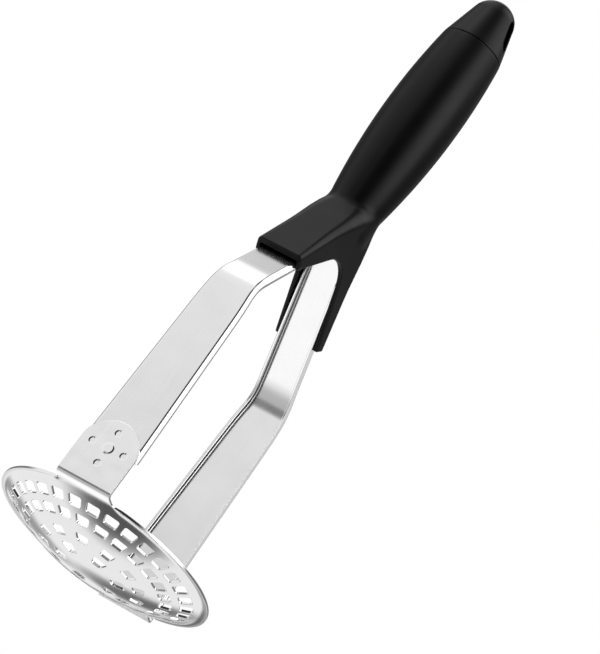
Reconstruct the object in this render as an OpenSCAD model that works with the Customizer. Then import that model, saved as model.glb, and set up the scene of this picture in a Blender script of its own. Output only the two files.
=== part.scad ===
// Potato masher: a domed, pierced steel plate on two channel-section steel straps,
// which run into the forked end of a hollow moulded grip with a hanging cap.
// +Z runs up the handle, Y crosses from strap to strap, and the lowest point of the
// domed plate is the origin. Every height below counts from the underside of the rim.

/* [Masher plate] */
// Radius of the plate's rim
plate_r = 45; // [38:0.5:55]
// Thickness of the plate's sheet
plate_t = 1.1; // [0.8:0.1:1.5]
// How far the dome bulges below the rim
dome_h = 10.5; // [6:0.5:16]
// Width of the flat rim around the dome
rim_w = 2; // [1:0.5:4]

/* [Plate holes] */
// Number of holes in each ring, outermost ring first
ring_holes = [30, 24, 12, 6]; // [1:1:36]
// Mean radius of each ring as a share of the dome's radius
ring_share = [0.875, 0.708, 0.486, 0.29]; // [0.2:0.01:0.9]
// Angle from the front strap to the first hole of each ring
ring_turn = [6, 0, 0, 30]; // [0:1:60]
// Radial length of the holes in each ring
hole_len = [4.5, 4.5, 4.6, 5.4]; // [3:0.1:6]
// Width of the holes in each ring, at the ring's mean radius
hole_w = [5.5, 5.6, 5.1, 5.1]; // [3:0.1:6]
// Corner radius of the holes
hole_corner_r = 0.9; // [0.2:0.1:1.4]

/* [Tabs of the plate] */
// Width of the two ears and their upturned tabs, which end in a full round
tab_w = 22.8; // [20:0.2:26]
// Distance from the rim to the outer face of a tab
tab_reach = 5.2; // [4:0.1:9]
// Outside radius of the fold between ear and tab
fold_r = 1.8; // [1.6:0.1:3.5]
// Fillet between the rim and the side of an ear
ear_fillet_r = 2.5; // [1:0.1:5]

/* [Weld marks] */
// Height of the weld pattern's centre and of the centre of the tab's round end
weld_h = 16.2; // [13:0.1:20]
// Distance from the centre mark to each of the four outer marks
weld_pitch = 6.7; // [5:0.1:7.4]
// Radius of an outer dimple
dimple_r = 1.4; // [0.8:0.1:1.8]
// Radius of the raised centre mark
boss_r = 2.1; // [0.8:0.1:2.6]
// Depth of the dimples and height of the centre mark
weld_relief = 0.3; // [0.1:0.05:0.5]

/* [Straps] */
// Thickness of the strap's sheet
strap_t = 1.2; // [0.8:0.1:1.6]
// Width of a strap's foot, up to where the flanges start
foot_w = 22.6; // [20:0.2:22.8]
// Width of a strap where its bend starts
bend_w = 18.8; // [17:0.2:20]
// Width of a strap where its bend ends
slope_w = 16; // [15:0.2:16.2]
// Width of a strap where its flanges end in the fork leg
mouth_w = 15.4; // [14.8:0.2:15.6]
// Width of a strap's tang in the handle
tang_w = 14.2; // [12:0.2:14.6]
// Depth of the inward flanges over the outer face
flange_d = 3.8; // [2.6:0.1:5]
// Height of a strap's foot
foot_h = 5; // [4:0.1:8]
// Height where the flanges start
flange_h = 16.8; // [12:0.1:22]
// Distance of the flanges' upper end below the tang bend
flange_end = 14; // [12:0.5:24]
// Height of the bend's apex on the outer face
bend_h = 98.3; // [80:0.5:130]
// Outside radius of the bend
bend_r = 18; // [8:0.5:24]
// Lean of the upper strap towards the handle's axis
splay = 37.5; // [32:0.5:42]
// Length of the straight tangs inside the handle
tang_len = 20; // [17:0.5:26]
// Inside radius of the bend into the tang
tang_bend_r = 4; // [2:0.5:5]

/* [Tang block, rivets and screw] */
// Thickness of the block between the tangs
block_t = 8; // [7.2:0.1:9]
// Width of the block
block_w = 13.4; // [12.6:0.2:14]
// Height of the block
block_h = 17; // [12:0.5:17]
// Shank radius of the two rivets
rivet_r = 1.5; // [1:0.1:1.6]
// Distance of a rivet from the handle's axis
rivet_x = 4.6; // [4.2:0.1:4.8]
// Head radius of the rivets
rivet_head_r = 2.2; // [1.8:0.1:2.4]
// Head height of the rivets
rivet_head_h = 0.6; // [0.3:0.1:0.8]
// Nominal radius of the draw screw
screw_r = 2; // [1.5:0.25:2.25]
// Length of the screw under its head
screw_len = 25; // [20:1:27]
// Head radius of the screw
screw_head_r = 4; // [3.2:0.1:4.8]
// Head height of the screw
screw_head_h = 2.8; // [2:0.1:3.6]
// Thickness of the flat washer
washer_t = 0.8; // [0.5:0.1:1.6]
// Outer radius of the flat washer
washer_r = 4.5; // [3.8:0.1:6]
// Thickness of the spring washer
spring_t = 1; // [0.6:0.1:1.6]
// Width of the spring washer's section
spring_w = 1.6; // [1:0.1:1.8]

/* [Fork of the handle] */
// Half width of the fork across the straps
fork_x = 9.6; // [9.5:0.1:10.4]
// Side wall of a fork leg
leg_wall = 1.6; // [1.2:0.1:1.7]
// Length of a fork leg along the strap
leg_len = 44.2; // [34:0.2:50]
// Distance from the axis to the shoulder, level with the tang bend
shoulder_y = 14.1; // [13:0.1:17]
// How much steeper the leg's outer face is than the strap
taper_out = 5.5; // [2:0.5:8]
// How much flatter the leg's inner edge is than the strap
taper_in = 8.9; // [5:0.1:12]
// Radius of the arch between the legs
arch_r = 16; // [12:0.5:20]
// Distance of the arch below the tang bend
arch_drop = 14.2; // [11:0.2:16]
// Distance of the web between the straps below the tang bend
web_drop = 7.5; // [5:0.5:10]
// Radius of the outer edges of the legs
leg_edge_r = 2.4; // [1:0.1:3]
// Gap over a strap in its leg
leg_gap = 0.9; // [0.4:0.1:1.2]

/* [Grip] */
// Largest radius of the grip
grip_r = 14.74; // [14:0.1:18]
// Height of the largest section above the tang bend
grip_mid = 56.5; // [50:0.5:66]
// Height of the seam with the cap above the tang bend
grip_len = 90.5; // [80:0.5:110]
// Radius of the barrel curve along the grip
barrel_r = 300; // [260:5:420]
// Radius of the neck where the fork ends
neck_r = 11.2; // [10.8:0.1:12]
// Height of the grip's start above the tang bend
neck_h = 8.5; // [6:0.5:10]
// Radius of the core that the moulding leaves
core_r = 9.2; // [8:0.1:10]
// Thickness of the floor that the screw pulls on
floor_t = 6; // [3:0.5:9]
// Gap between the tangs and the floor
tang_gap = 3; // [1:0.5:5]

/* [End cap] */
// Length of the cap above the seam
cap_len = 23.5; // [21:0.5:32]
// Radius of the cap at the seam
cap_r = 12.9; // [12.4:0.1:13.2]
// Radius of the round tip
tip_r = 9.2; // [8:0.1:11]
// Depth of the spigot in the grip
spigot_len = 14; // [8:0.5:20]
// Outer radius of the spigot
spigot_r = 10; // [9.4:0.1:10.4]
// Wall of the hollow spigot
spigot_wall = 2; // [1.2:0.1:3]
// Height of the hanging slot's centre below the tip
slot_drop = 11.3; // [10.4:0.1:12.4]
// Length of the hanging slot
slot_len = 13.2; // [8:0.1:13.6]
// Width of the hanging slot
slot_w = 6.7; // [4:0.1:8]
// Depth and height of the shadow line at the seam
seam_step = 0.5; // [0.2:0.1:1]

/* [Fits] */
// Clearance around tangs, spigot and screw shank
fit = 0.2; // [0.1:0.05:0.3]
// Clearance of the screw in the block's thread
thread_fit = 0.05; // [0.02:0.01:0.1]

/* [Hidden] */
$fn = 64;

STEEL = "#d8dadb";      // bright stainless sheet
ZINC = "#b9bcbf";       // plated fasteners
BLACK = "#1c1c1d";      // moulded black plastic

// Lap of shapes that join, and how far a cut runs past a face
lap = 0.3;
over = 1;

// Heights and half widths that several pieces share
rim_z = dome_h;
dome_r = plate_r - rim_w;
sphere_r = (dome_r * dome_r + dome_h * dome_h) / (2 * dome_h);
tab_y = plate_r + tab_reach;
strap_y = tab_y - plate_t;
weld_z = rim_z + weld_h;
tang_y = block_t / 2 + strap_t;
bend_z = rim_z + bend_h;
tang_z = bend_z + (strap_y - tang_y) / tan(splay);
tang_top = tang_z + tang_len;
floor_z = tang_top + tang_gap;
seat_z = floor_z + floor_t;
head_z = seat_z + washer_t + spring_t;
seam_z = tang_z + grip_len;
tip_z = seam_z + cap_len;
slot_z = tip_z - slot_drop;
web_z = tang_z - web_drop;
bore_r = spigot_r + fit;
channel_x = fork_x - leg_wall;
rivet_z = tang_z + tang_len / 2;

// Directions in the Y-Z plane: down and out along a slope that leans by a from +Z,
// and square to it, up and out
function down(a) = [sin(a), -cos(a)];
function out(a) = [cos(a), sin(a)];
// Where the flanges of a strap end, and where its leg of the fork ends
flange_top = [tang_y, tang_z] + flange_end * down(splay);
leg_end = [tang_y, tang_z] + leg_len * down(splay);
// Point on a slope through p where it meets the end face of the fork leg
function at_leg_end(p, a) = p + down(a) * ((leg_end - p) * down(splay)) / (down(a) * down(splay));
// Points on an arc about c from angle a0 to a1
function arc(c, r, a0, a1, steps = 10) =
    [for (i = [0:steps]) let (a = a0 + (a1 - a0) * i / steps) c + r * [cos(a), sin(a)]];

// Side view of a strap, as a line that lies d inside its outer face
bend_c = [strap_y - bend_r, bend_z - bend_r * tan(splay / 2)];
tang_c = [tang_y + tang_bend_r, tang_z + tang_bend_r * tan(splay / 2)];
function strap_line(d, foot) = concat(
    [[strap_y - d, foot]],
    arc(bend_c, bend_r - d, 0, splay),
    arc(tang_c, tang_bend_r + d, 180 + splay, 180),
    [[tang_y - d, tang_top]]);
function reverse(v) = [for (i = [len(v) - 1:-1:0]) v[i]];

// Extrude a Y-Z outline along X
module across(half_x) {
    translate([half_x, 0, 0]) rotate([90, 0, -90]) mirror([1, 0]) linear_extrude(2 * half_x)
        children();
}

// ---- masher plate ----
// Outline of one hole, pointing along +Y, with its sides on radii of the plate
module hole_outline(r_mid, length, width) {
    side = atan(width / 2 / r_mid);
    inner = r_mid - length / 2 + hole_corner_r;
    outer = r_mid + length / 2 - hole_corner_r;
    function centre(s, y) = [s * (y * tan(side) - hole_corner_r / cos(side)), y];
    polygon(concat(arc(centre(1, inner), hole_corner_r, -90, -side, 3),
                   arc(centre(1, outer), hole_corner_r, -side, 90, 3),
                   arc(centre(-1, outer), hole_corner_r, 90, 180 + side, 3),
                   arc(centre(-1, inner), hole_corner_r, 180 + side, 270, 3)));
}

module plate_holes() {
    for (k = [0:len(ring_holes) - 1], i = [0:ring_holes[k] - 1])
        rotate([0, 0, 180 + ring_turn[k] + i * 360 / ring_holes[k]])
            translate([0, 0, -over]) linear_extrude(rim_z + plate_t + 2 * over)
                hole_outline(ring_share[k] * dome_r, hole_len[k], hole_w[k]);
}

module dome() {
    intersection() {
        difference() {
            translate([0, 0, sphere_r]) sphere(sphere_r, $fn = 200);
            translate([0, 0, sphere_r]) sphere(sphere_r - plate_t, $fn = 200);
        }
        cylinder(r = dome_r + rim_w / 2, h = rim_z + plate_t);
    }
}

// Flat rim with its two ears and the fillets between them
module rim_outline() {
    fillet_y = sqrt(pow(plate_r + ear_fillet_r, 2) - pow(tab_w / 2 + ear_fillet_r, 2));
    difference() {
        union() {
            circle(plate_r, $fn = 180);
            square([tab_w, 2 * (tab_y - fold_r)], center = true);
            for (sx = [0, 1], sy = [0, 1]) mirror([sx, 0]) mirror([0, sy]) difference() {
                translate([tab_w / 2 - lap, fillet_y - 2 * ear_fillet_r])
                    square([ear_fillet_r + lap, 2 * ear_fillet_r]);
                translate([tab_w / 2 + ear_fillet_r, fillet_y]) circle(ear_fillet_r);
            }
        }
        circle(dome_r - lap, $fn = 180);
    }
}

// Fold and upturned tab on the +Y side
module tab() {
    fold_c = [tab_y - fold_r, rim_z + fold_r];
    intersection() {
        across(tab_w / 2) polygon(concat(
            arc(fold_c, fold_r, -90, 0),
            [[tab_y, weld_z + tab_w], [tab_y - plate_t, weld_z + tab_w]],
            arc(fold_c, fold_r - plate_t, 0, -90)));
        translate([0, tab_y + over, 0]) rotate([90, 0, 0]) linear_extrude(fold_r + 2 * over) {
            translate([-tab_w / 2, 0]) square([tab_w, weld_z]);
            translate([0, weld_z]) circle(tab_w / 2);
        }
    }
}

// Sphere that cuts or leaves a round mark of radius r and height weld_relief
function mark_sphere(r) = (r * r + weld_relief * weld_relief) / (2 * weld_relief);

module weld_dimples() {
    ball = mark_sphere(dimple_r);
    for (turn = [0:90:270])
        translate([0, tab_y + ball - weld_relief, weld_z]) rotate([0, turn, 0])
            translate([weld_pitch, 0, 0]) sphere(ball);
}

module weld_boss() {
    ball = mark_sphere(boss_r);
    intersection() {
        translate([0, tab_y - ball + weld_relief, weld_z]) sphere(ball, $fn = 200);
        translate([0, tab_y - plate_t / 2, weld_z]) rotate([-90, 0, 0])
            cylinder(r = 2 * boss_r, h = plate_t);
    }
}

module masher_plate() {
    color(STEEL) {
        difference() {
            dome();
            plate_holes();
        }
        translate([0, 0, rim_z]) linear_extrude(plate_t) rim_outline();
        for (turn = [0, 180]) rotate([0, 0, turn]) {
            difference() {
                tab();
                weld_dimples();
            }
            weld_boss();
        }
    }
}

// ---- straps ----
// Front view of a strap, narrowed by inset on each side
module strap_outline(inset, foot) {
    half = [[foot_w / 2, foot], [foot_w / 2, rim_z + flange_h], [bend_w / 2, bend_c.y],
            [slope_w / 2, bend_c.y + bend_r * sin(splay)], [mouth_w / 2, flange_top.y],
            [tang_w / 2, web_z], [tang_w / 2, tang_top + inset]];
    polygon(concat([for (p = half) [p.x - inset, p.y]],
                   [for (p = reverse(half)) [inset - p.x, p.y]]));
}

// The flanges run into the fork leg and end there with a slanted edge
module flange_side() {
    polygon(concat(
        [[strap_y, rim_z + flange_h]],
        arc(bend_c, bend_r, 0, splay),
        [flange_top, flange_top + flange_d * (down(splay) - out(splay))],
        reverse(arc(bend_c, bend_r - flange_d, 0, splay)),
        [[strap_y - flange_d, rim_z + flange_h]]));
}

module strap() {
    foot = rim_z + foot_h;
    intersection() {
        across(foot_w) polygon(concat(strap_line(0, foot), reverse(strap_line(strap_t, foot))));
        translate([0, strap_y + over, 0]) rotate([90, 0, 0]) linear_extrude(strap_y + 2 * over)
            strap_outline(0, foot);
    }
    intersection() {
        across(foot_w) flange_side();
        translate([0, strap_y + over, 0]) rotate([90, 0, 0]) linear_extrude(strap_y + 2 * over)
            difference() {
                strap_outline(0, foot);
                strap_outline(strap_t, foot - strap_t);
            }
    }
}

// The rear strap is the front one turned half round
module rear_strap() {
    color(STEEL) difference() {
        strap();
        for (s = [-1, 1]) translate([s * rivet_x, 0, rivet_z]) rotate([-90, 0, 0])
            cylinder(r = rivet_r + thread_fit, h = tang_y + over);
    }
}

module front_strap() { rotate([0, 0, 180]) rear_strap(); }

// ---- joint between straps and grip ----
module tang_block() {
    color(ZINC) difference() {
        translate([-block_w / 2, -block_t / 2, tang_top - block_h])
            cube([block_w, block_t, block_h]);
        translate([0, 0, tang_top - block_h - over])
            cylinder(r = screw_r, h = block_h + 2 * over);
        for (s = [-1, 1]) translate([s * rivet_x, -block_t, rivet_z]) rotate([-90, 0, 0])
            cylinder(r = rivet_r + thread_fit, h = 2 * block_t);
    }
}

module tang_rivets() {
    color(ZINC) for (s = [-1, 1]) translate([s * rivet_x, 0, rivet_z]) rotate([90, 0, 0]) {
        cylinder(r = rivet_r, h = 2 * tang_y, center = true);
        for (side = [0, 1]) mirror([0, 0, side])
            translate([0, 0, tang_y]) cylinder(r = rivet_head_r, h = rivet_head_h);
    }
}

module draw_screw() {
    recess_w = screw_head_r / 4;
    color(ZINC) difference() {
        union() {
            translate([0, 0, head_z - screw_len])
                cylinder(r = screw_r - thread_fit, h = screw_len);
            translate([0, 0, head_z]) cylinder(r = screw_head_r, h = screw_head_h);
        }
        for (turn = [0, 90]) rotate([0, 0, turn])
            translate([-screw_head_r / 2, -recess_w / 2, head_z + screw_head_h / 2])
                cube([screw_head_r, recess_w, screw_head_h]);
    }
}

module flat_washer() {
    color(ZINC) translate([0, 0, seat_z]) difference() {
        cylinder(r = washer_r, h = washer_t);
        translate([0, 0, -over]) cylinder(r = screw_r + fit, h = washer_t + 2 * over);
    }
}

module spring_washer() {
    split = spring_t * 0.8;
    color(ZINC) translate([0, 0, seat_z + washer_t]) difference() {
        cylinder(r = screw_r + fit + spring_w, h = spring_t);
        translate([0, 0, -over]) cylinder(r = screw_r + fit, h = spring_t + 2 * over);
        translate([0, -split / 2, -over])
            cube([2 * spring_w + screw_r, split, spring_t + 2 * over]);
    }
}

// ---- handle body ----
function grip_radius(z) =
    grip_r - barrel_r + sqrt(pow(barrel_r, 2) - pow(z - tang_z - grip_mid, 2));

module grip() {
    neck_top = tang_z + neck_h;
    steps = 28;
    rotate_extrude($fn = 96) polygon(concat(
        [[0, neck_top]],
        [for (i = [0:steps]) let (z = neck_top + (seam_z - neck_top) * i / steps)
            [grip_radius(z), z]],
        [[0, seam_z]]));
    translate([0, 0, tang_z - arch_drop])
        cylinder(r1 = fork_x - lap, r2 = neck_r, h = arch_drop + neck_h + lap, $fn = 96);
}

arch_c = [0, tang_z - arch_drop - arch_r];
shoulder = [shoulder_y, tang_z];
in_lean = splay + taper_in;
out_lean = splay - taper_out;
in_edge = arch_c + arch_r * out(in_lean);

// One leg of the fork on the +Y side, with round outer edges
module leg() {
    top = shoulder - fork_x * down(out_lean);
    reach = shoulder_y + arch_r;
    intersection() {
        across(fork_x + over) polygon(concat(
            [[-over, arch_c.y + arch_r]], arc(arch_c, arch_r, 90, in_lean, 14),
            [at_leg_end(in_edge, in_lean), at_leg_end(shoulder, out_lean), top, [-over, top.y]]));
        translate([0, shoulder.x, shoulder.y]) rotate([180 + out_lean, 0, 0])
            translate([0, 0, -reach]) linear_extrude(2 * reach + leg_len) union() {
                translate([-fork_x, leg_edge_r]) square([2 * fork_x, 2 * reach]);
                translate([leg_edge_r - fork_x, 0]) square([2 * (fork_x - leg_edge_r), 2 * reach]);
                for (s = [-1, 1]) translate([s * (fork_x - leg_edge_r), leg_edge_r])
                    circle(leg_edge_r);
            }
    }
}

// Space that the strap takes inside its leg, and the hollow between the side walls under
// the web, which is open towards the arch
module leg_space() {
    strap_in = strap_t + 2 * fit;
    start = [tang_y, tang_z] - tang_bend_r * down(splay);
    finish = leg_end + bend_r * down(splay);
    across(channel_x) {
        polygon([start + leg_gap * out(splay), finish + leg_gap * out(splay),
                 finish - strap_in * out(splay), start - strap_in * out(splay)]);
        polygon([[-over, web_z], [tang_y + web_drop * tan(splay), web_z],
                 finish, [-over, finish.y]]);
    }
}

module handle_body() {
    head_room = rivet_head_h + fit;
    cavity_z = tang_z - 2;
    color(BLACK) difference() {
        union() {
            grip();
            for (turn = [0, 180]) rotate([0, 0, turn]) leg();
        }
        for (turn = [0, 180]) rotate([0, 0, turn]) leg_space();
        translate([-tang_w / 2 - fit, -tang_y - head_room, cavity_z])
            cube([tang_w + 2 * fit, 2 * (tang_y + head_room), floor_z - cavity_z]);
        translate([0, 0, floor_z - over]) cylinder(r = screw_r + fit, h = floor_t + 2 * over);
        translate([0, 0, seat_z]) cylinder(r = core_r, h = seam_z);
        translate([0, 0, seam_z - spigot_len - fit]) cylinder(r = bore_r, h = seam_z);
    }
}

// ---- end cap ----
module end_cap() {
    tip_c = tip_z - tip_r;
    reach = norm([cap_r, tip_c - seam_z]);
    touch = acos(tip_r / reach) - atan2(tip_c - seam_z, cap_r);
    touch_r = tip_r * cos(touch);
    touch_z = tip_c + tip_r * sin(touch);
    color(BLACK) difference() {
        union() {
            translate([0, 0, seam_z + seam_step])
                cylinder(r1 = cap_r, r2 = touch_r, h = touch_z - seam_z - seam_step, $fn = 96);
            translate([0, 0, tip_c]) sphere(tip_r, $fn = 96);
            translate([0, 0, seam_z]) cylinder(r = cap_r - seam_step, h = 2 * seam_step);
            translate([0, 0, seam_z - spigot_len]) cylinder(r = spigot_r, h = spigot_len + over);
        }
        translate([0, 0, seam_z - spigot_len - over])
            cylinder(r = spigot_r - spigot_wall, h = spigot_len + over);
        across(2 * cap_r) union() {
            translate([-slot_w / 2, slot_z - slot_len / 2 + slot_w / 2])
                square([slot_w, slot_len - slot_w]);
            for (s = [-1, 1])
                translate([0, slot_z + s * (slot_len - slot_w) / 2]) circle(slot_w / 2);
        }
    }
}

masher_plate();
front_strap();
rear_strap();
tang_block();
tang_rivets();
handle_body();
draw_screw();
flat_washer();
spring_washer();
end_cap();
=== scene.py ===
"""Potato masher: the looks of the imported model, its studio and its camera.

Lengths are in millimetres unless a name says otherwise. +Z runs up the handle, Y crosses from
strap to strap, and the lowest point of the domed plate is the origin.
"""

from __future__ import annotations

import logging
from dataclasses import dataclass
from enum import Enum
from math import acos, atan, atan2, cos, degrees, hypot, pi, radians, sin, sqrt, tan
from typing import Callable, Sequence

import bpy
import numpy as np
from bpy.types import Material, Node, NodeSocket, NodeTree, Object
from mathutils import Matrix, Vector
from mathutils.geometry import delaunay_2d_cdt

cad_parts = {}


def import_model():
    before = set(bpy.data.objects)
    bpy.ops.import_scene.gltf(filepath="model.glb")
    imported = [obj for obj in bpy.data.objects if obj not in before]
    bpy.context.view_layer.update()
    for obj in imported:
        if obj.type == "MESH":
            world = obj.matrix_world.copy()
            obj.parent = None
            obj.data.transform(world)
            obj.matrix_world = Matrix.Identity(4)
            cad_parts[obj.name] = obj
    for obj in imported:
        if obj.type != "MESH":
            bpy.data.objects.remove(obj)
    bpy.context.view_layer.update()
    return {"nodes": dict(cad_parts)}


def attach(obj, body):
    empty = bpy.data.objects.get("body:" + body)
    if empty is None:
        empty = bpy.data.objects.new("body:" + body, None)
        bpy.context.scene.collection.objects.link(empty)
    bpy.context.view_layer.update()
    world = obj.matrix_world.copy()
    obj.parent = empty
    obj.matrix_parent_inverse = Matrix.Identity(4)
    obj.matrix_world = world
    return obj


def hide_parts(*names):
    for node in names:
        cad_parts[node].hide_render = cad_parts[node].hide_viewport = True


LOG = logging.getLogger("masher")
MM = 0.001
Array = np.ndarray
Pair = tuple[float, float]
Point = tuple[float, float, float]
Field = Callable[[Array], Array]


# ---- small tools
def linear(code: str) -> tuple[float, float, float, float]:
    """Turns an sRGB hex value into linear RGBA.

    Args:
        code: Six hex digits, such as "c0c0c0".

    Returns:
        The linear colour with an alpha of 1.
    """
    parts = [int(code[i : i + 2], 16) / 255 for i in (0, 2, 4)]
    rgb = [p / 12.92 if p <= 0.04045 else ((p + 0.055) / 1.055) ** 2.4 for p in parts]
    return (*rgb, 1.0)


def add(tree: NodeTree, kind: str, links: dict | None = None, **settings: object) -> Node:
    """Adds one node with its settings and links.

    Args:
        tree: The node tree that gets the node.
        kind: The node's type name, without its ShaderNode prefix.
        links: Input name or number to a value or to the output socket that feeds it.
        **settings: Properties of the node.

    Returns:
        The new node.
    """
    made = tree.nodes.new("ShaderNode" + kind)
    for name, value in settings.items():
        setattr(made, name, value)
    for key, value in (links or {}).items():
        if isinstance(value, NodeSocket):
            tree.links.new(value, made.inputs[key])
        else:
            made.inputs[key].default_value = value
    return made


def blank_material(name: str) -> tuple[Material, NodeTree]:
    """Makes a material with an empty node tree.

    Args:
        name: The material's name.

    Returns:
        The material and its tree.
    """
    made = bpy.data.materials.new(name)
    made.use_nodes = True
    made.node_tree.nodes.clear()
    return made, made.node_tree


def smooth_step(t: Array) -> Array:
    """Eases t from 0 to 1 with level ends."""
    t = np.clip(t, 0.0, 1.0)
    return t * t * (3 - 2 * t)


def soft_min(a: Array, b: Array | float, k: float) -> Array:
    """The lesser of two fields, with a fillet where they differ by less than k."""
    h = np.maximum(k - np.abs(a - b), 0.0) / k
    return np.minimum(a, b) - h * h * k / 4


def round_max(a: Array, b: Array, r: Array | float) -> Array:
    """The common part of two solids, with their shared edge rounded to radius r."""
    a, b = a + r, b + r
    return np.minimum(np.maximum(a, b), 0.0) + np.hypot(np.maximum(a, 0.0), np.maximum(b, 0.0)) - r


def unit(v: Array) -> Array:
    """Scales each row to length 1."""
    return v / np.maximum(np.linalg.norm(v, axis=-1, keepdims=True), 1e-12)


def make_mesh(
    name: str,
    points: Array,
    faces: Sequence[Sequence[int]],
    normals: Array,
    material: Material,
    grain: Array | None = None,
) -> Object:
    """Makes a smooth mesh object whose shading follows the given normals.

    Args:
        name: The piece's name.
        points: One row for each corner, in millimetres.
        faces: Corner numbers of each face. A face that looks inwards is turned.
        normals: The surface's normal at each corner.
        material: The piece's finish.
        grain: Coordinates along the sheet for each corner, in millimetres, kept as a UV map.

    Returns:
        The new object, linked to the scene.
    """
    turned = []
    for face in faces:
        ring = points[list(face)]
        across = np.cross(ring[2] - ring[0], ring[-1] - ring[1])
        outwards = across @ normals[list(face)].sum(0) >= 0
        turned.append(tuple(face) if outwards else tuple(reversed(face)))
    mesh = bpy.data.meshes.new(name)
    mesh.from_pydata((points * MM).tolist(), [], turned)
    mesh.polygons.foreach_set("use_smooth", [True] * len(mesh.polygons))
    mesh.materials.append(material)
    if grain is not None:
        corner = np.empty(len(mesh.loops), dtype=np.int32)
        mesh.loops.foreach_get("vertex_index", corner)
        layer = mesh.uv_layers.new(name="grain")
        layer.data.foreach_set("uv", (grain[corner] * MM).astype(np.float32).ravel())
    mesh.normals_split_custom_set_from_vertices(unit(normals).tolist())
    mesh.update()
    made = bpy.data.objects.new(name, mesh)
    bpy.context.scene.collection.objects.link(made)
    LOG.info("%s: %d faces", name, len(turned))
    return made


def skin(
    field: Field, low: Sequence[float], high: Sequence[float], step: float
) -> tuple[Array, Array, Array]:
    """Wraps a mesh round a solid that is given as a distance field.

    Args:
        field: Distance to the solid's surface for rows of points, negative inside.
        low: Lowest corner of the space that is searched.
        high: Highest corner of that space.
        step: Spacing of the search grid.

    Returns:
        Points on the surface, the quads between them, and the normal at each point.
    """
    axes = [np.arange(a, b + step, step) for a, b in zip(low, high)]
    shape = [len(a) for a in axes]
    values = np.empty(shape, dtype=np.float32)
    plane = np.stack(np.meshgrid(axes[1], axes[2], indexing="ij"), -1).reshape(-1, 2)
    for i, x in enumerate(axes[0]):
        values[i] = field(np.column_stack([np.full(len(plane), x), plane])).reshape(shape[1:])
    inside = values < 0
    cells = [n - 1 for n in shape]
    total = np.zeros((*cells, 3), dtype=np.float32)
    count = np.zeros(cells, dtype=np.int16)
    corners = [(i, j, k) for i in (0, 1) for j in (0, 1) for k in (0, 1)]

    def part(grid: Array, c: tuple[int, int, int]) -> Array:
        """The values of the grid at one corner of every cell."""
        return grid[c[0] : c[0] + cells[0], c[1] : c[1] + cells[1], c[2] : c[2] + cells[2]]

    for a in corners:
        for axis in range(3):
            if a[axis]:
                continue
            b = tuple(v + (n == axis) for n, v in enumerate(a))
            va, vb = part(values, a), part(values, b)
            cut = part(inside, a) != part(inside, b)
            share = np.where(cut, va / np.where(cut, va - vb, 1), 0)
            for n in range(3):
                total[..., n] += np.where(cut, a[n] + (share if n == axis else 0), 0)
            count += cut
    live = count > 0
    number = np.full(cells, -1, dtype=np.int64)
    number[live] = np.arange(live.sum())
    where = np.argwhere(live)
    points = np.array(low) + step * (where + total[live] / count[live][:, None])
    quads = []
    for axis in range(3):
        u, v = (axis + 1) % 3, (axis + 2) % 3
        first = [slice(1, n - 1) for n in shape]
        first[axis] = slice(0, shape[axis] - 1)
        second = list(first)
        second[axis] = slice(1, shape[axis])
        at = np.argwhere(inside[tuple(first)] != inside[tuple(second)])
        at += [n != axis for n in range(3)]
        ring = []
        for du, dv in ((0, 0), (-1, 0), (-1, -1), (0, -1)):
            shifted = at.copy()
            shifted[:, u] += du
            shifted[:, v] += dv
            ring.append(number[tuple(shifted.T)])
        quads.append(np.stack(ring, 1))
    faces = np.concatenate(quads)
    # Slide the points onto the surface; a slope that is nearly level never throws one far
    rounds, least_slope = 5, 0.25
    for _ in range(rounds):
        slope = gradient(field, points)
        size = np.maximum((slope * slope).sum(1), least_slope)
        shift = -slope * (field(points) / size)[:, None]
        points = points + np.clip(shift, -step / 2, step / 2)
    return points, faces, unit(gradient(field, points))


def gradient(field: Field, points: Array, h: float = 0.03) -> Array:
    """The slope of a field at each point, by central differences h to each side."""
    shifts = np.eye(3) * h
    return np.stack([(field(points + s) - field(points - s)) / (2 * h) for s in shifts], 1)


# ---- finishes
@dataclass(frozen=True)
class Finish:
    """What all the finishes share: a shader whose roughness and relief follow two patterns.

    While its pattern runs through span, the roughness runs through its mean plus change.
    """

    name: str
    colour: str
    roughness: float
    change: Pair
    bump: float
    relief: float
    span: Pair = (0.3, 0.7)
    metallic: float = 1.0
    ior: float | None = None

    def patterns(self, tree: NodeTree) -> tuple[NodeSocket, NodeSocket]:
        """Adds the finish's own patterns.

        Args:
            tree: The material's node tree.

        Returns:
            The outputs that the roughness and the relief follow.
        """
        raise NotImplementedError

    def build(self) -> Material:
        """Makes the material.

        Returns:
            The new material.
        """
        made, tree = blank_material(self.name)
        pattern, height = self.patterns(tree)
        low, high = (self.roughness + change for change in self.change)
        ends = {"From Min": self.span[0], "From Max": self.span[1], "To Min": low, "To Max": high}
        rough = add(tree, "MapRange", {"Value": pattern, **ends})
        relief = {"Height": height, "Strength": self.bump, "Distance": self.relief * MM}
        skin_inputs = {
            "Base Color": linear(self.colour),
            "Metallic": self.metallic,
            "Roughness": rough.outputs["Result"],
            "Normal": add(tree, "Bump", relief).outputs["Normal"],
        }
        if self.ior:
            skin_inputs["IOR"] = self.ior
        shader = add(tree, "BsdfPrincipled", skin_inputs)
        add(tree, "OutputMaterial", {"Surface": shader.outputs["BSDF"]})
        return made


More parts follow.
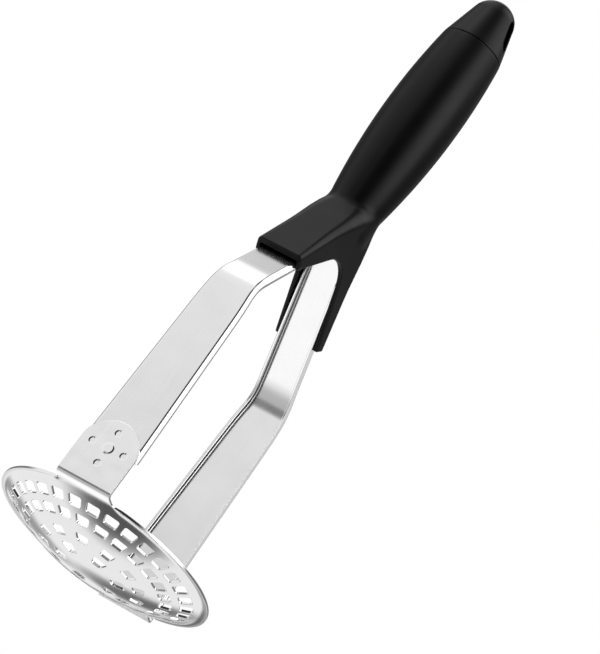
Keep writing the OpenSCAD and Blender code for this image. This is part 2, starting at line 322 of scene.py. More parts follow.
@dataclass(frozen=True)
class BrushedStainless(Finish):
    """Cold-rolled 18/0 stainless strip: its fine lengthwise grain softens reflections."""

    name: str = "brushed_stainless_strip"
    colour: str = "e8e8e8"
    roughness: float = 0.17
    change: Pair = (-0.05, 0.06)
    span: Pair = (0.5, 1.3)
    bump: float = 0.35
    relief: float = 0.0015
    # The real grain is about 0.05 mm wide; it is drawn five times as wide to show
    grain: Pair = (0.25, 28.0)
    cloud: float = 14.0

    def patterns(self, tree: NodeTree) -> tuple[NodeSocket, NodeSocket]:
        """Adds the grain and slow clouds over it.

        Args:
            tree: The material's node tree.

        Returns:
            The clouded grain for the roughness, and the grain for the relief.
        """
        uv = add(tree, "UVMap", uv_map="grain").outputs["UV"]
        scale = (1 / (self.grain[0] * MM), 1 / (self.grain[1] * MM), 1.0)
        along = add(tree, "Mapping", {"Vector": uv, "Scale": scale}).outputs["Vector"]
        streaks = {"Vector": along, "Scale": 1.0, "Detail": 3.0, "Roughness": 0.6}
        grain = add(tree, "TexNoise", streaks).outputs["Fac"]
        clouds = {"Vector": uv, "Scale": 1 / (self.cloud * MM), "Detail": 2.0}
        cloud = add(tree, "TexNoise", clouds).outputs["Fac"]
        both = add(tree, "Math", {0: grain, 1: 0.8, 2: cloud}, operation="MULTIPLY_ADD")
        return both.outputs[0], grain


@dataclass(frozen=True)
class PressedStainless(Finish):
    """Bright stainless sheet after pressing: mirror-like, with slow waves left by the tool."""

    name: str = "pressed_stainless_sheet"
    colour: str = "eaeaea"
    roughness: float = 0.11
    change: Pair = (-0.03, 0.05)
    bump: float = 1.0
    relief: float = 0.05
    wave: float = 9.0
    scratch: Pair = (0.22, 30.0)

    def patterns(self, tree: NodeTree) -> tuple[NodeSocket, NodeSocket]:
        """Adds the waves and fine drawn scratches.

        Args:
            tree: The material's node tree.

        Returns:
            The scratches for the roughness, and the waves for the relief.
        """
        uv = add(tree, "UVMap", uv_map="grain").outputs["UV"]
        waves = {"Vector": uv, "Scale": 1 / (self.wave * MM), "Detail": 1.0, "Roughness": 0.4}
        wave = add(tree, "TexNoise", waves)
        scale = (1 / (self.scratch[0] * MM), 1 / (self.scratch[1] * MM), 1.0)
        along = add(tree, "Mapping", {"Vector": uv, "Scale": scale}).outputs["Vector"]
        scratch = add(tree, "TexNoise", {"Vector": along, "Scale": 1.0, "Detail": 2.0})
        return scratch.outputs["Fac"], wave.outputs["Fac"]


@dataclass(frozen=True)
class MouldedNylon(Finish):
    """Black glass-filled nylon from a spark-eroded mould: a satin skin with broad highlights."""

    name: str = "moulded_black_nylon"
    colour: str = "040404"
    roughness: float = 0.34
    change: Pair = (-0.02, 0.03)
    bump: float = 0.3
    relief: float = 0.006
    metallic: float = 0.0
    ior: float = 1.27
    # Spark erosion leaves pits of about 0.05 mm; they are drawn wider so that they show
    pit: float = 0.35
    cloud: float = 12.0

    def patterns(self, tree: NodeTree) -> tuple[NodeSocket, NodeSocket]:
        """Adds the pits and slow clouds of gloss.

        Args:
            tree: The material's node tree.

        Returns:
            The clouds for the roughness, and the pits for the relief.
        """
        place = add(tree, "TexCoord").outputs["Object"]
        pits = {"Vector": place, "Scale": 1 / (self.pit * MM), "Detail": 2.0, "Roughness": 0.6}
        pit = add(tree, "TexNoise", pits)
        clouds = {"Vector": place, "Scale": 1 / (self.cloud * MM), "Detail": 2.0}
        return add(tree, "TexNoise", clouds).outputs["Fac"], pit.outputs["Fac"]


@dataclass(frozen=True)
class ZincPlate(Finish):
    """Turned steel with bright zinc plating: a soft blue-grey sheen with faint turning marks."""

    name: str = "bright_zinc_plate"
    colour: str = "b4b8bc"
    roughness: float = 0.3
    change: Pair = (-0.06, 0.08)
    bump: float = 0.3
    relief: float = 0.01
    mark: float = 0.4

    def patterns(self, tree: NodeTree) -> tuple[NodeSocket, NodeSocket]:
        """Adds the turning marks.

        Args:
            tree: The material's node tree.

        Returns:
            The marks, for the roughness and for the relief.
        """
        place = add(tree, "TexCoord").outputs["Object"]
        marks = {"Vector": place, "Scale": 1 / (self.mark * MM), "Detail": 3.0}
        mark = add(tree, "TexNoise", marks).outputs["Fac"]
        return mark, mark


# ---- shared sizes
@dataclass(frozen=True)
class SidePlan:
    """The lines that the straps and the fork share in the Y-Z plane, for the +Y side."""

    rim_z: float = 10.5
    tab_y: float = 50.2
    plate_t: float = 1.1
    strap_t: float = 1.2
    tang_y: float = 5.2
    bend_h: float = 98.3
    bend_r: float = 18.0
    tang_bend_r: float = 4.0
    tang_len: float = 20.0
    splay: float = 37.5
    leg_len: float = 44.2

    @property
    def strap_y(self) -> float:
        """Outer face of a strap's lower run."""
        return self.tab_y - self.plate_t

    @property
    def tang_z(self) -> float:
        """Height where the sloping run meets the tang."""
        rise = (self.strap_y - self.tang_y) / tan(radians(self.splay))
        return self.rim_z + self.bend_h + rise

    @property
    def leg_end(self) -> Array:
        """Point on the strap's outer face where the fork leg ends."""
        return np.array([self.tang_y, self.tang_z]) + self.leg_len * down(self.splay)


def down(lean: float) -> Array:
    """Direction down and out along a slope that leans by that many degrees from +Z."""
    a = radians(lean)
    return np.array([sin(a), -cos(a)])


def out(lean: float) -> Array:
    """Direction square to that slope, up and out."""
    a = radians(lean)
    return np.array([cos(a), sin(a)])


def sweep_arc(
    centre: Sequence[float], radius: float, start: float, end: float, steps: int
) -> Array:
    """Points on an arc.

    Args:
        centre: The arc's centre.
        radius: Its radius.
        start: First angle in degrees.
        end: Last angle in degrees.
        steps: Number of steps between them.

    Returns:
        One row for each point.
    """
    a = np.radians(np.linspace(start, end, steps + 1))
    return np.array(centre) + radius * np.stack([np.cos(a), np.sin(a)], 1)


PLAN = SidePlan()


class MarkKind(Enum):
    """Which way the metal moved at a spot weld."""

    DIMPLE = -1
    BOSS = 1


@dataclass(frozen=True)
class WeldMark:
    """One spot-weld mark on the outside of a tab."""

    x: float
    z: float
    outer: float
    inner: float
    height: float
    kind: MarkKind

    def offset(self, x: Array, z: Array) -> Array:
        """How far the mark moves the sheet's outer face outwards.

        Args:
            x: Places across the tab.
            z: Heights on the tab.

        Returns:
            The distance at each place.
        """
        distance = np.hypot(x - self.x, z - self.z)
        share = smooth_step((self.outer - distance) / (self.outer - self.inner))
        return self.kind.value * self.height * share


# ---- masher plate
@dataclass(frozen=True)
class Ring:
    """One ring of holes: its place is a share of the dome's radius, its turn is in degrees."""

    number: int
    share: float
    turn: float
    length: float
    width: float


@dataclass
class MasherPlate:
    """The pressed plate: a pierced dome, its rim, two ears and two upturned tabs, all one sheet."""

    radius: float = 44.98
    rim_w: float = 2.0
    rim_blend: float = 0.45
    ear_y: float = 41.5
    ear_end: float = 45.2
    ear_lift: float = 0.03
    ear_half: float = 16.0
    ear_fade: float = 5.0
    tab_half: float = 11.4
    fold_r: float = 1.8
    fillet_r: float = 2.5
    weld_h: float = 16.2
    weld_pitch: float = 6.7
    weld_depth: float = 0.22
    dimple: Pair = (1.6, 0.95)
    boss: Pair = (2.4, 1.65)
    edge_r: float = 0.18
    corner_r: float = 0.9
    rings: tuple[Ring, ...] = (
        Ring(30, 0.875, 6.0, 4.5, 5.5),
        Ring(24, 0.708, 0.0, 4.5, 5.6),
        Ring(12, 0.486, 0.0, 4.6, 5.1),
        Ring(6, 0.29, 30.0, 5.4, 5.1),
    )

    def __post_init__(self) -> None:
        """Works out the sizes that follow from the fields."""
        self.dome_r = self.radius - self.rim_w
        self.sphere_r = (self.dome_r**2 + PLAN.rim_z**2) / (2 * PLAN.rim_z)
        self.fold_y = PLAN.tab_y - self.fold_r
        self.fold_end = self.fold_y + self.fold_r * pi / 2
        self.round_v = self.fold_end + self.weld_h - self.fold_r
        reach, side = self.radius + self.fillet_r, self.tab_half + self.fillet_r
        self.fillet_y = sqrt(reach**2 - side**2)
        middle, pitch, depth = PLAN.rim_z + self.weld_h, self.weld_pitch, self.weld_depth
        self.marks = [
            WeldMark(x, middle + z, *self.dimple, depth, MarkKind.DIMPLE)
            for x, z in ((pitch, 0), (0, pitch), (-pitch, 0), (0, -pitch))
        ]
        self.marks.append(WeldMark(0, middle, *self.boss, depth, MarkKind.BOSS))

    def surface(self, flat: Array, marked: bool, drawn: bool = False) -> Array:
        """Folds and presses points of the flat sheet into place.

        Args:
            flat: Points of the flat sheet: x, and distance along the sheet from the middle.
            marked: Whether the weld marks move the points.
            drawn: Whether the ears follow the dome's slope up to the fold, as their shading does.

        Returns:
            Points on the outer face.
        """
        x, v = flat[:, 0], flat[:, 1]
        side, run = np.where(v < 0, -1.0, 1.0), np.abs(v)
        # Past the rim the sphere isn't used, so its slope is stopped before it stands upright
        r = np.minimum(np.hypot(x, v), 0.9 * self.sphere_r)
        bowl = self.sphere_r - np.sqrt(self.sphere_r**2 - r**2)
        level = soft_min(bowl, PLAN.rim_z, self.rim_blend)
        turn = np.clip((run - self.fold_y) / self.fold_r, 0, pi / 2)
        y = np.minimum(run, self.fold_y) + self.fold_r * np.sin(turn)
        z = level + self.fold_r * (1 - np.cos(turn)) + np.maximum(run - self.fold_end, 0)
        for mark in self.marks if marked else ():
            y = y + np.where(run > self.fold_end, mark.offset(x, z), 0)
        if drawn:
            lift = bowl - level + self.ear_lift * np.maximum(run - self.ear_y, 0) ** 2
            z = z + lift * smooth_step((self.ear_half - np.abs(x)) / self.ear_fade)
        return np.stack([x, side * y, z], 1)

    def facing(self, flat: Array, marked: bool) -> Array:
        """The outer face's normals, with each ear drawn into the dome's slope.

        Args:
            flat: Points of the flat sheet.
            marked: Whether the weld marks tilt the normals.

        Returns:
            A unit normal for each point.
        """
        h = 0.01
        du = self.surface(flat + [h, 0], marked, True) - self.surface(flat - [h, 0], marked, True)
        dv = self.surface(flat + [0, h], marked, True) - self.surface(flat - [0, h], marked, True)
        return -unit(np.cross(du, dv))

    def outline(self, inset: float) -> Array:
        """The sheet's outer outline.

        Args:
            inset: How far it is moved into the sheet.

        Returns:
            Points of the flat sheet, in order round it.
        """
        fillet = (self.tab_half + self.fillet_r, self.fillet_y)
        lean = degrees(atan2(fillet[1], fillet[0]))
        stops = (self.fillet_y, self.fold_y, self.fold_end, self.round_v)
        parts = zip(stops, stops[1:], (4, 13, 12))
        side = np.concatenate([np.linspace(low, high, n)[:-1] for low, high, n in parts])
        right = np.stack([np.full(len(side), self.tab_half - inset), side], 1)
        tip = sweep_arc((0, self.round_v), self.tab_half - inset, 0, 180, 36)[:-1]
        left = (right * [-1, 1])[::-1]
        curl = sweep_arc(fillet, self.fillet_r + inset, lean - 180, -180, 6)[:-1]
        rim = sweep_arc((0, 0), self.radius - inset, 180 - lean, 180 + lean, 70)
        corner = [[inset - self.tab_half, self.round_v]]
        other = (curl * [-1, 1])[::-1]
        half = np.concatenate([curl, right, tip, corner, left, other, rim[1:-1]])
        return np.concatenate([half, -half])

    def hole(self, ring: Ring, index: int, inset: float) -> Array:
        """The outline of one hole.

        Args:
            ring: The ring that the hole belongs to.
            index: Its number in the ring.
            inset: How far the outline is moved into the sheet.

        Returns:
            Points of the flat sheet, in order round the hole.
        """
        middle = ring.share * self.dome_r
        side = degrees(atan(ring.width / 2 / middle))
        rc = self.corner_r
        inner, outer = middle - ring.length / 2 + rc, middle + ring.length / 2 - rc

        def centre(sign: int, y: float) -> Pair:
            """Centre of one of the corners."""
            a = radians(side)
            return (sign * (y * tan(a) - rc / cos(a)), y)

        r = rc + inset
        corners = [
            sweep_arc(centre(1, inner), r, -90, -side, 5),
            sweep_arc(centre(1, outer), r, -side, 90, 5),
            sweep_arc(centre(-1, outer), r, 90, 180 + side, 5),
            sweep_arc(centre(-1, inner), r, 180 + side, 270, 5),
        ]
        points: list[Array] = []
        for here, there in zip(corners, corners[1:] + corners[:1]):
            points += [*here, *(here[-1] * (1 - t) + there[0] * t for t in (1 / 3, 2 / 3))]
        a = radians(180 + ring.turn + index * 360 / ring.number)
        spin = np.array([[cos(a), sin(a)], [-sin(a), cos(a)]])
        return np.array(points) @ spin

    def inner_points(self, loops: list[Array]) -> Array:
        """Spreads points over the sheet between its outlines, close together where it bends.

        Args:
            loops: The outer outline, then the outline of each hole.

        Returns:
            Points of the flat sheet that stand clear of every outline.
        """
        coarse, fine, tab_row, margin = 1.7, 0.35, 1.1, 0.4
        hole_gap, outline_gap, search = 0.35, 0.25, 0.4
        # The dome in rings, with fine ones where it bends into the rim
        spread = [np.zeros((1, 2))]
        bowl = np.arange(2, self.dome_r - 2.2, coarse)
        rim = np.arange(self.dome_r - 2.1, self.radius - margin, fine)
        for n, r in enumerate(np.concatenate([bowl, rim])):
            count = max(8, round(2 * pi * r / coarse))
            a = 2 * pi * (np.arange(count) + 0.5 * (n % 2)) / count
            spread.append(np.stack([r * np.sin(a), r * np.cos(a)], 1))
        # A tab in rows, close together round its fold
        across = np.linspace(-self.tab_half + 0.5, self.tab_half - 0.5, 21)
        fold = np.linspace(self.ear_end, self.fold_end + margin, 20)
        wall = np.arange(self.fold_end + 1.2, self.round_v + self.tab_half, tab_row)
        rows = np.concatenate([fold, wall])
        grid = np.stack([a.ravel() for a in np.meshgrid(across, rows)], 1)
        past = np.maximum(grid[:, 1] - self.round_v, 0)
        grid = grid[np.hypot(grid[:, 0], past) < self.tab_half - margin]
        # Each weld mark in rings, which take the place of the rows there
        near = []
        for mark in self.marks:
            middle = (mark.x, mark.z - PLAN.rim_z - self.weld_h + self.round_v)
            sizes = np.linspace(0.3, mark.outer + 0.15, 9)
            near += [sweep_arc(middle, r, 0, 345, 23) for r in sizes]
            grid = grid[np.hypot(*(grid - middle).T) > mark.outer + 0.3]
        for tab in (grid, np.concatenate(near)):
            spread += [tab, -tab]
        points = np.concatenate(spread)
        keep = np.ones(len(points), dtype=bool)
        for loop in loops[1:]:
            middle = loop.mean(0)
            reach = np.hypot(*(loop - middle).T).max() + search
            for i in np.flatnonzero(np.hypot(*(points - middle).T) < reach):
                gap = np.hypot(*(loop - points[i]).T).min()
                keep[i] &= gap > hole_gap and not self.within(points[i], loop)
        gap = np.array([np.hypot(*(loops[0] - p).T).min() for p in points])
        return points[keep & (gap > outline_gap)]

    @staticmethod
    def within(point: Array, loop: Array) -> bool:
        """Whether a point lies inside a closed outline that turns one way.

        Args:
            point: The point.
            loop: The outline's points in order.

        Returns:
            True when it lies inside.
        """
        edge = np.roll(loop, -1, axis=0) - loop
        side = edge[:, 0] * (point[1] - loop[:, 1]) - edge[:, 1] * (point[0] - loop[:, 0])
        return bool(np.all(side > 0) or np.all(side < 0))

    def build(self, material: Material) -> Object:
        """Makes the plate.

        Args:
            material: The plate's finish.

        Returns:
            The finished piece.
        """
        makers: list[Callable[[float], Array]] = [self.outline]
        for ring in self.rings:
            numbers = range(ring.number)
            makers += [lambda inset, ring=ring, i=i: self.hole(ring, i, inset) for i in numbers]
        loops = [make(self.edge_r) for make in makers]
        starts = np.cumsum([0] + [len(loop) for loop in loops])
        flat = np.concatenate(loops + [self.inner_points(loops)])
        edges = [
            (first + i, first + (i + 1) % len(loop))
            for first, loop in zip(starts, loops)
            for i in range(len(loop))
        ]
        found = delaunay_2d_cdt([Vector(p) for p in flat], edges, [], 1, 1e-6)
        if len(found[0]) != len(flat):
            LOG.warning("the sheet's outlines cross: %d points became %d", len(flat), len(found[0]))
        # A face that only joins points of one hole's outline would close that hole
        hole_of = {i: n for n in range(1, len(loops)) for i in range(starts[n], starts[n + 1])}
        owners = [{hole_of.get(i, 0) for i in face} for face in found[2]]
        tris = [f for f, holes in zip(found[2], owners) if len(holes) > 1 or 0 in holes]
        count, t = len(flat), PLAN.plate_t
        outer, outer_n = self.surface(flat, True), self.facing(flat, True)
        base, base_n = self.surface(flat, False), self.facing(flat, False)
        points = [outer, base - base_n * t]
        normals = [outer_n, -base_n]
        grain = [flat, flat]
        faces: list[Sequence[int]] = [tuple(f) for f in tris]
        faces += [tuple(i + count for i in f) for f in tris]
        total = 2 * count
        # Each outline's wall: its outer edge rounded in three steps, then its inner edge
        for number, make in enumerate(makers):
            edge, size = make(0.0), len(loops[number])
            away = unit(edge - make(0.01))
            foot, foot_n = self.surface(edge, False), self.facing(edge, False)
            wall = unit(self.surface(edge + away * 0.01, False) - foot)
            rows = [np.arange(starts[number], starts[number + 1])]
            for turn, low in ((30, 0), (60, 0), (90, 0), (90, 1), (120, 1), (150, 1)):
                a = radians(turn)
                inset = self.edge_r * (1 - sin(a))
                depth = self.edge_r * (1 - cos(a))
                if low:
                    depth = t - self.edge_r - self.edge_r * cos(a)
                here = make(inset)
                place, place_n = self.surface(here, False), self.facing(here, False)
                points.append(place - place_n * depth)
                normals.append(foot_n * cos(a) + wall * sin(a))
                grain.append(here)
                rows.append(np.arange(total, total + size))
                total += size
            rows.append(rows[0] + count)
            for this, next_row in zip(rows, rows[1:]):
                faces += [(this[i], this[i - 1], next_row[i - 1], next_row[i]) for i in range(size)]
        xyz, facing, sheet = (np.concatenate(part) for part in (points, normals, grain))
        made = make_mesh("plate_sheet", xyz, faces, facing, material, sheet)
        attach(made, "root")
        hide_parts("masher_plate")
        return made


# ---- straps
@dataclass
class Strap:
    """One channel-section strap, from its foot behind the tab to its tang inside the grip."""

    foot_z: float = 15.5
    foot_half: float = 10.9
    flange_z: float = 27.3
    corner_r: float = 1.4
    flange: float = 3.8
    flange_end: float = 14.0
    lag: float = 2.4
    crown: float = 3.0
    lip: float = 0.4
    tip: float = 0.35
    flange_corner: float = 1.6
    width_blend: float = 5.0
    mean_half: float = 9.0
    bend_steps: int = 40
    tang_steps: int = 12
    widths: tuple[Pair, ...] = (
        # Height on the outer face, and half width there
        (15.5, 11.25), (27.3, 11.25), (97.0, 9.4), (113.9, 8.0), (154.9, 7.7), (158.5, 7.1),
    )

    def path(self) -> tuple[Array, Array, Array, Array]:
        """The outer face's side line.

        Returns:
            Points (y, z), outward normals, the crowned normals that shading follows, and the
            distance along the line.
        """
        splay = PLAN.splay
        half = tan(radians(splay / 2))
        bend_c = (PLAN.strap_y - PLAN.bend_r, PLAN.rim_z + PLAN.bend_h - PLAN.bend_r * half)
        tang_c = (PLAN.tang_y + PLAN.tang_bend_r, PLAN.tang_z + PLAN.tang_bend_r * half)
        bend = sweep_arc(bend_c, PLAN.bend_r, 0, splay, self.bend_steps)
        tang = sweep_arc(tang_c, PLAN.tang_bend_r, 180 + splay, 180, self.tang_steps)
        top = [PLAN.tang_y, PLAN.tang_z + PLAN.tang_len]
        line = np.concatenate([[[PLAN.strap_y, self.foot_z]], bend, tang, [top]])
        length = np.concatenate([[0], np.cumsum(np.hypot(*np.diff(line, axis=0).T))])
        # Close rows where the flanges start, and one every 2 mm elsewhere
        start = np.linspace(self.flange_z - 0.2, self.flange_z + 2.2, 14) - self.foot_z
        s = np.concatenate([length, start, np.arange(2, length[-1], 2.0)])
        s = np.unique(np.round(s, 4))
        points = np.stack([np.interp(s, length, column) for column in line.T], 1)
        low, high = length[1], length[1 + self.bend_steps]
        tang_low, tang_high = length[2 + self.bend_steps], length[-2]
        bent = np.clip((s - low) / (high - low), 0, 1)
        late = np.clip((s - low - self.lag) / (high - low + self.crown), 0, 1)
        back = np.clip((s - tang_low) / (tang_high - tang_low), 0, 1)
        lean, shade = (np.radians(splay) * (turn - back) for turn in (bent, late))
        away = np.stack([np.cos(lean), np.sin(lean)], 1)
        crowned = np.stack([np.cos(shade), np.sin(shade)], 1)
        return points, away, crowned, s

    def section(self) -> tuple[Array, Array]:
        """The channel's section for a half width of 0 and full flanges.

        Returns:
            Points (side, extra x, depth under the outer face) and normals (x, depth).
        """
        r, t, f, tip = self.corner_r, PLAN.strap_t, self.flange, self.tip
        half = [
            (-tip, f, 0.0, 1.0),
            (-tip * 0.3, f - tip * 0.3, 0.985, 0.17),
            (0.0, f - self.lip, 0.992, 0.125),
            (0.0, f - self.lip - 0.25, 1.0, 0.0),
            (0.0, r + 0.2, 1.0, 0.0),
        ]
        for a in np.radians(np.linspace(0, 90, 9)):
            half.append((-r + r * cos(a), r - r * sin(a), cos(a), -sin(a)))
        inner = []
        q = r - t
        for a in np.radians(np.linspace(90, 0, 6)):
            inner.append((-r + q * cos(a), r - q * sin(a), -cos(a), sin(a)))
        inner += [
            (-t, (f + r) / 2, -1.0, 0.0),
            (-t, f - tip, -1.0, 0.0),
            (-t + tip * 0.3, f - tip * 0.3, -0.7, 0.7),
            (-t + tip, f, 0.0, 1.0),
        ]
        rows = [(1, *p) for p in half] + [(-1, *p) for p in reversed(half)]
        rows += [(-1, *p) for p in reversed(inner)] + [(1, *p) for p in inner]
        table = np.array(rows)
        return table[:, :3], table[:, 3:]

    def build(self, name: str, node: str, turn: float, material: Material) -> Object:
        """Makes the strap.

        Args:
            name: The piece's name.
            node: The solid that it stands for.
            turn: Angle about +Z from the +Y side, in degrees.
            material: The strap's finish.

        Returns:
            The finished piece.
        """
        line, away, crowned, s = self.path()
        shape, shape_n = self.section()
        table = np.array(self.widths)
        # The corners of the width are eased by a mean over a stretch of each side
        reach = np.linspace(-self.width_blend, self.width_blend, 11)
        near = [np.interp(line[:, 1] + d, table[:, 0], table[:, 1]) for d in reach]
        half = np.mean(near, axis=0)
        half = np.where(line[:, 1] < self.flange_z, self.foot_half, half)
        # The flanges start with a round corner and fade out in the fork's leg
        start = np.clip((line[:, 1] - self.flange_z) / self.flange_corner, 0, 1)
        depth = PLAN.strap_t + (self.flange - PLAN.strap_t) * np.sqrt(1 - (1 - start) ** 2)
        into = (np.array([PLAN.tang_y, PLAN.tang_z]) - line) @ -down(PLAN.splay)
        fade = np.clip((into - self.flange_end) / self.flange, 0, 1)
        slope_len = 50
        depth = np.where(into < slope_len, PLAN.strap_t + (depth - PLAN.strap_t) * fade, depth)
        points, normals, grain = [], [], []
        # The grain's run across the sheet, for a mean half width
        flat_x = shape[:, 0] * (self.mean_half + shape[:, 1])
        across = np.hypot(np.diff(flat_x), np.diff(shape[:, 2]))
        run = np.concatenate([[0], np.cumsum(across)])
        for p, n, m, w, d, at in zip(line, away, crowned, half, depth, s):
            x = shape[:, 0] * (w + shape[:, 1])
            points.append(np.column_stack([x, p - np.minimum(shape[:, 2:], d) * n]))
            side = shape_n[:, :1] * shape[:, :1]
            normals.append(np.column_stack([side, -shape_n[:, 1:] * m]))
            grain.append(np.column_stack([run, np.full(len(x), at)]))
        rows, size = len(s), len(shape)
        faces: list[Sequence[int]] = []
        for i in range(0, (rows - 1) * size, size):
            turned = [(k, (k + 1) % size) for k in range(size)]
            faces += [(i + k, i + j, i + size + j, i + size + k) for k, j in turned]
        for row, direction in ((0, -1.0), (rows - 1, 1.0)):
            faces.append(range(len(points) * size, (len(points) + 1) * size))
            points.append(points[row])
            normals.append(np.tile([0, 0, direction], (size, 1)))
            grain.append(grain[row])
        xyz, facing, sheet = (np.concatenate(part) for part in (points, normals, grain))
        a = radians(turn)
        spin = np.array([[cos(a), sin(a), 0], [-sin(a), cos(a), 0], [0, 0, 1]])
        made = make_mesh(name, xyz @ spin, faces, facing @ spin, material, sheet)
        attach(made, "root")
        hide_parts(node)
        return made


# ---- handle
@dataclass
class Moulding:
    """A moulded piece, given by a distance field and the space that it is searched in."""

    low: Point
    high: Point
    step: float

    def field(self, p: Array) -> Array:
        """Distance to the piece's surface, negative inside."""
        raise NotImplementedError

    def build(self, name: str, node: str, material: Material) -> Object:
        """Makes the piece.

        Args:
            name: The piece's name.
            node: The solid that it stands for.
            material: Its finish.

        Returns:
            The finished piece.
        """
        points, faces, normals = skin(self.field, self.low, self.high, self.step)
        made = make_mesh(name, points, faces.tolist(), normals, material)
        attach(made, "root")
        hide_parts(node)
        return made


@dataclass
class Handle(Moulding):
    """The moulded handle: a fork of two hollow legs that run into a barrel-shaped grip."""

    low: Point = (-15.6, -36.1, 128.1)
    high: Point = (15.6, 36.3, 257.6)
    step: float = 0.5
    fork_x: float = 9.6
    neck_x: float = 10.9
    channel_x: float = 8.0
    shoulder_y: float = 14.1
    lean_out: float = 32.0
    lean_in: float = 46.4
    arch_r: float = 16.0
    arch_drop: float = 14.2
    web_drop: float = 7.5
    leg_gap: float = 0.9
    under_gap: float = 0.4
    channel_drop: float = 2.0
    arch_edge: float = 1.0
    end_edge: float = 0.6
    mouth_edge: float = 0.3
    seam_edge: float = 0.4
    grip_r: float = 14.74
    grip_mid: float = 56.5
    grip_len: float = 90.5
    grip_foot: float = 4.0
    barrel_r: float = 300.0
    barrel_half: float = 70.0
    neck_r: float = 10.8
    neck_blend: float = 1.7
    waist_blend: float = 0.6
    flare: Pair = (-16.0, 8.0)
    edge_table: tuple[Pair, ...] = (
        # Height, and the rounding of the fork's outer edges there
        (133.0, 1.8), (144.5, 2.7), (156.5, 3.6), (162.5, 4.4),
        (168.5, 5.8), (174.5, 8.0), (182.0, 10.2),
    )

    @property
    def seam_z(self) -> float:
        """Height of the seam with the cap."""
        return PLAN.tang_z + self.grip_len

    def field(self, p: Array) -> Array:
        """Distance to the handle's surface.

        Args:
            p: A row for each point.

        Returns:
            The distance from each point, negative inside.
        """
        ax, ay, z = np.abs(p[:, 0]), np.abs(p[:, 1]), p[:, 2]
        side = np.stack([ay, z], 1)
        rise = z - PLAN.tang_z
        # Grip: a barrel whose radius never falls below the neck's
        off = np.clip(rise - self.grip_mid, -self.barrel_half, self.barrel_half)
        barrel = self.grip_r - self.barrel_r + np.sqrt(self.barrel_r**2 - off**2)
        radius = -soft_min(-barrel, -self.neck_r, self.waist_blend)
        grip = np.hypot(p[:, 0], p[:, 1]) - radius
        grip = round_max(grip, PLAN.tang_z - self.grip_foot - z, self.grip_foot)
        # Fork: two sloping faces and two flat sides, with a rounding that grows towards the neck
        edges = np.array(self.edge_table)
        rounding = np.interp(z, edges[:, 0], edges[:, 1])
        low, high = self.flare
        widen = smooth_step((rise - low) / (high - low))
        half = self.fork_x + (self.neck_x - self.fork_x) * widen
        slope = (side - [self.shoulder_y, PLAN.tang_z]) @ out(self.lean_out)
        fork = round_max(slope, ax - half, rounding)
        body = soft_min(grip, fork, self.neck_blend)
        # Arch between the legs
        centre = np.array([0, PLAN.tang_z - self.arch_drop - self.arch_r])
        arm = side - centre
        turned = np.arctan2(arm[:, 1], arm[:, 0]) >= radians(self.lean_in)
        flat = arm @ out(self.lean_in)
        arch = np.where(turned, np.hypot(*arm.T), flat) - self.arch_r
        body = round_max(body, -arch, self.arch_edge)
        # End of the leg, square to the strap
        end = (side - PLAN.leg_end) @ down(PLAN.splay)
        body = round_max(body, end, self.end_edge)
        # Channel for the strap, and the hollow under the web
        over = (side - [PLAN.tang_y, PLAN.tang_z]) @ out(PLAN.splay)
        room = np.minimum(rise + self.web_drop, -(over + PLAN.strap_t + self.under_gap))
        walls = np.maximum(ax - self.channel_x, over - self.leg_gap)
        channel = np.maximum(walls, np.maximum(room, rise + self.channel_drop))
        body = round_max(body, -channel, self.mouth_edge)
        return round_max(body, z - self.seam_z, self.seam_edge)


@dataclass
class EndCap(Moulding):
    """The cap at the grip's end, with its spigot and the slot that the masher hangs by."""

    low: Point = (-14.1, -14.1, 241.1)
    high: Point = (14.1, 14.1, 281.3)
    step: float = 0.4
    length: float = 23.5
    radius: float = 12.85
    tip_r: float = 9.2
    slot_drop: float = 11.3
    slot_len: float = 13.2
    slot_w: float = 6.7
    spigot_len: float = 14.0
    spigot_r: float = 10.0
    spigot_wall: float = 2.0
    spigot_root: float = 1.0
    spigot_edge: float = 0.3
    seam_gap: float = 0.1
    seam_edge: float = 0.4
    slot_edge: float = 0.7
    seam_z: float = 256.5

    def field(self, p: Array) -> Array:
        """Distance to the cap's surface.

        Args:
            p: A row for each point.

        Returns:
            The distance from each point, negative inside.
        """
        tip = self.seam_z + self.length - self.tip_r
        r, z = np.hypot(p[:, 0], p[:, 1]), p[:, 2]
        reach = hypot(self.radius, tip - self.seam_z)
        lean = acos(self.tip_r / reach) - atan2(tip - self.seam_z, self.radius)
        arm = np.stack([r, z - tip], 1)
        turned = np.arctan2(arm[:, 1], arm[:, 0]) >= lean
        slope = arm @ [cos(lean), sin(lean)]
        cone = np.where(turned, np.hypot(*arm.T), slope) - self.tip_r
        # The cap stands a little off the seam, and the spigot's root reaches into it
        body = round_max(cone, self.seam_z + self.seam_gap - z, self.seam_edge)
        wall = np.maximum(r - self.spigot_r, self.spigot_r - self.spigot_wall - r)
        ends = np.maximum(self.seam_z - self.spigot_len - z, z - self.seam_z - self.spigot_root)
        body = np.minimum(body, round_max(wall, ends, self.spigot_edge))
        half = (self.slot_len - self.slot_w) / 2
        middle = self.seam_z + self.length - self.slot_drop
        slot = np.hypot(p[:, 1], np.maximum(np.abs(z - middle) - half, 0)) - self.slot_w / 2
        return round_max(body, -slot, self.slot_edge)


@dataclass
class HiddenJoint:
    """The plated block, rivets, screw and washers inside the grip, which keep their solids."""

    nodes: tuple[str, ...] = (
        "tang_block", "tang_rivets", "draw_screw", "flat_washer", "spring_washer",
    )

    def dress(self, nodes: dict[str, Object], material: Material) -> None:
        """Gives each solid its finish.

        Args:
            nodes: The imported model's objects by name.
            material: The plated finish.
        """
        for name in self.nodes:
            mesh = nodes[name].data
            mesh.materials.clear()
            mesh.materials.append(material)
            LOG.info("%s: dressed", name)


